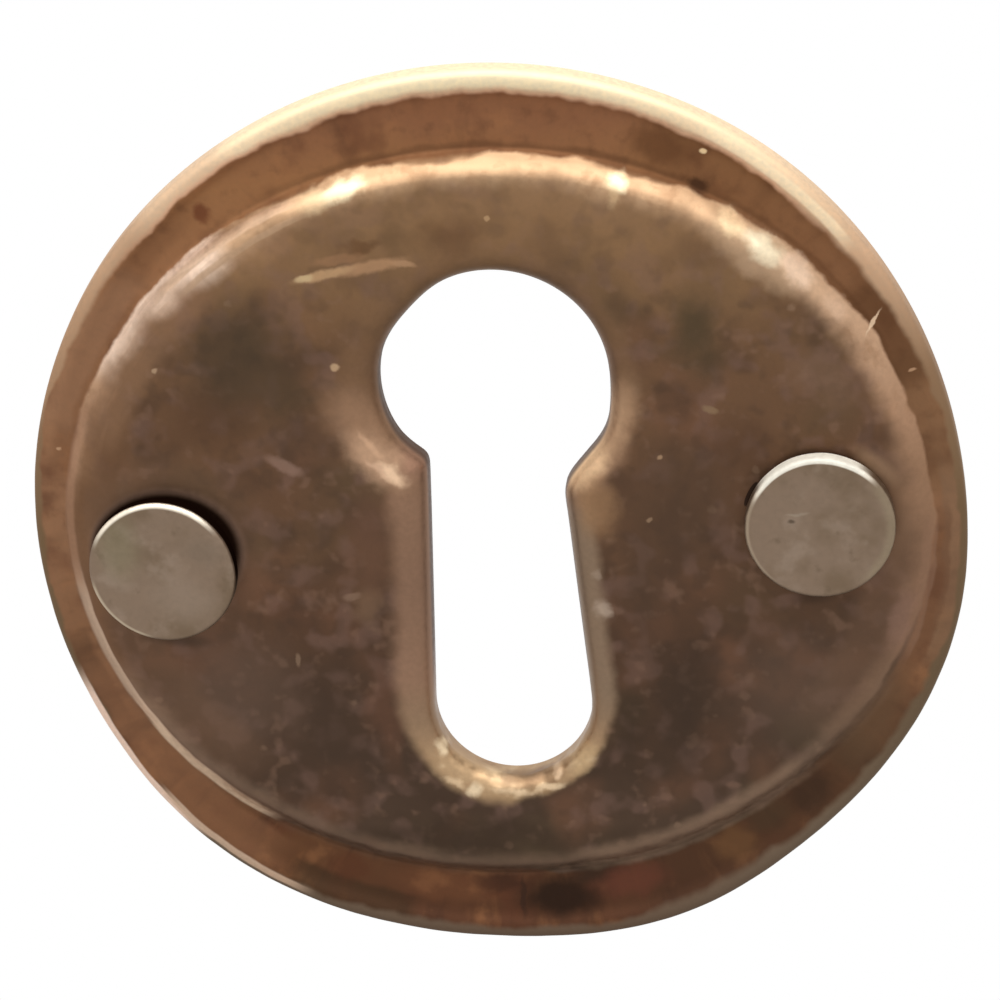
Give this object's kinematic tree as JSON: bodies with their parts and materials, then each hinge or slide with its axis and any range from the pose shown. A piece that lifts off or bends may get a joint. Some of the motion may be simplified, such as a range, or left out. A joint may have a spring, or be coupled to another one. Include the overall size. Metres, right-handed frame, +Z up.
{
  "type": "keyhole escutcheon",
  "caption": "Round pressed keyhole plate with an oval raised field, rolled lip and turned-in keyhole edge, held to a drawer front or door by flat-headed pins.",
  "frame": {"origin": "centre of the rim's back face, on the surface that the plate is pinned to", "axes": "+Z up, +X to the right as seen from the front, +Y into the wood; the face looks towards -Y"},
  "size_m": [0.032, 0.0134, 0.032],
  "materials": {
    "aged_brass": "mottled brown patina, worn bright on the lip, the shoulder and the keyhole's lower edge",
    "dull_pin_metal": "dull satin with faint blotches and bright edges"
  },
  "bodies": {
    "root": {"escutcheon_plate": "aged_brass", "left_pin": "dull_pin_metal", "right_pin": "dull_pin_metal"}
  },
  "joints": []
}
